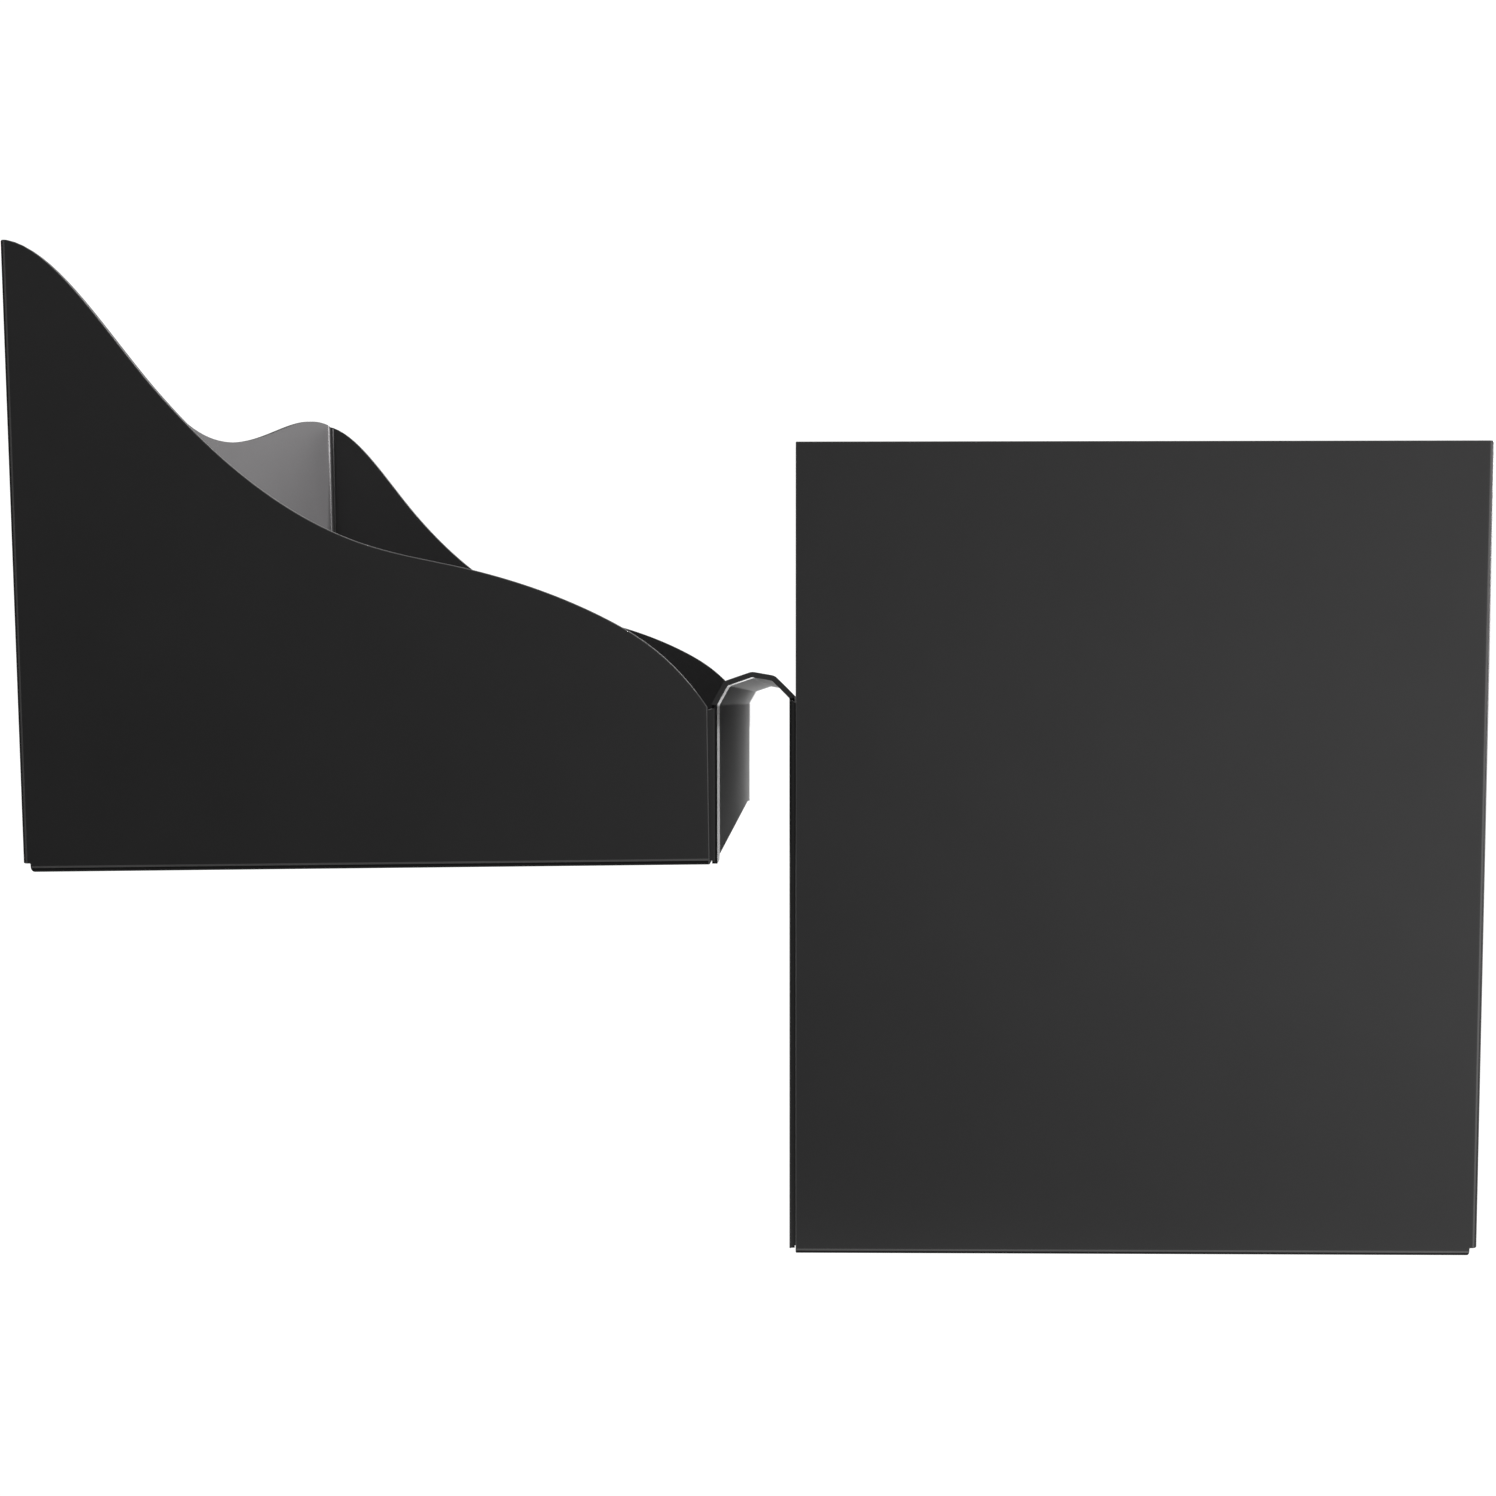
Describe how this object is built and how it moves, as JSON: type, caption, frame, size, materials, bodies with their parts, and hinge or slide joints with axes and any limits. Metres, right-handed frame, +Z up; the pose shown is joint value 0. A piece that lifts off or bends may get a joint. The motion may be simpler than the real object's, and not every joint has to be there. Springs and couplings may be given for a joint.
{
  "type": "sluice box",
  "caption": "Two-chamber sheet-metal sluice box: a deep open header box spills over an arched weir into a high-backed tray with swept sides, a mat and a lift-out riffle frame.",
  "frame": {"origin": "centre of the part's bounding box in plan, at the underside of the header box it stands on", "axes": "+X from the tray towards the header box, +Y from the near side panels to the far ones, +Z up"},
  "size_m": [0.5418, 0.3, 0.3732],
  "materials": {
    "coated_steel": "charcoal powder coat, semi-matt, with a fine orange-peel surface",
    "bright_steel": "zinc-plated steel",
    "riffle_aluminium": "mill-finish aluminium",
    "mat_rubber": "matt black ribbed rubber"
  },
  "bodies": {
    "shell": {"header_side_near": "coated_steel", "header_side_far": "coated_steel", "header_back_wall": "coated_steel", "header_floor": "coated_steel", "weir_saddle": "coated_steel", "baffle_channel_near": "coated_steel", "baffle_channel_far": "coated_steel", "tray_side_near": "coated_steel", "tray_side_far": "coated_steel", "tray_back_wall": "coated_steel", "tray_floor": "coated_steel", "clamp_bracket_outlet_near": "coated_steel", "clamp_stud_outlet_near": "bright_steel", "wing_nut_outlet_near": "bright_steel", "clamp_bracket_outlet_far": "coated_steel", "clamp_stud_outlet_far": "bright_steel", "wing_nut_outlet_far": "bright_steel", "clamp_bracket_weir_near": "coated_steel", "clamp_stud_weir_near": "bright_steel", "wing_nut_weir_near": "bright_steel", "clamp_bracket_weir_far": "coated_steel", "clamp_stud_weir_far": "bright_steel", "wing_nut_weir_far": "bright_steel"},
    "stilling_baffle": {"stilling_baffle": "coated_steel", "baffle_lip": "coated_steel"},
    "ribbed_mat": {"ribbed_mat": "mat_rubber"},
    "riffle_frame": {"riffle_rail_near": "riffle_aluminium", "riffle_rail_far": "riffle_aluminium", "riffle_1": "riffle_aluminium", "riffle_2": "riffle_aluminium", "riffle_3": "riffle_aluminium", "riffle_4": "riffle_aluminium", "riffle_5": "riffle_aluminium", "riffle_6": "riffle_aluminium"},
    "turn_button_outlet_near": {"turn_button_outlet_near": "bright_steel"},
    "turn_button_outlet_far": {"turn_button_outlet_far": "bright_steel"},
    "turn_button_weir_near": {"turn_button_weir_near": "bright_steel"},
    "turn_button_weir_far": {"turn_button_weir_far": "bright_steel"}
  },
  "joints": [
    {"name": "baffle_lift", "type": "slide", "parent": "shell", "child": "stilling_baffle", "axis": [0, 0, 1], "range_m": [0, 0.3]},
    {"name": "mat_lift", "type": "slide", "parent": "shell", "child": "ribbed_mat", "axis": [-0.0122, 0, 0.9999], "range_m": [0, 0.26]},
    {"name": "riffle_lift", "type": "slide", "parent": "ribbed_mat", "child": "riffle_frame", "axis": [-0.0122, 0, 0.9999], "range_m": [0, 0.26]},
    {"name": "turn_button_outlet_near_turn", "type": "hinge", "parent": "shell", "child": "turn_button_outlet_near", "pos_m": [-0.22051, -0.138, 0.17403], "axis": [-0.0122, 0, 0.9999], "range_deg": [-90, 0]},
    {"name": "turn_button_outlet_far_turn", "type": "hinge", "parent": "shell", "child": "turn_button_outlet_far", "pos_m": [-0.22051, 0.138, 0.17403], "axis": [-0.0122, 0, 0.9999], "range_deg": [0, 90]},
    {"name": "turn_button_weir_near_turn", "type": "hinge", "parent": "shell", "child": "turn_button_weir_near", "pos_m": [-0.06253, -0.138, 0.17596], "axis": [-0.0122, 0, 0.9999], "range_deg": [-90, 0]},
    {"name": "turn_button_weir_far_turn", "type": "hinge", "parent": "shell", "child": "turn_button_weir_far", "pos_m": [-0.06253, 0.138, 0.17596], "axis": [-0.0122, 0, 0.9999], "range_deg": [0, 90]}
  ]
}
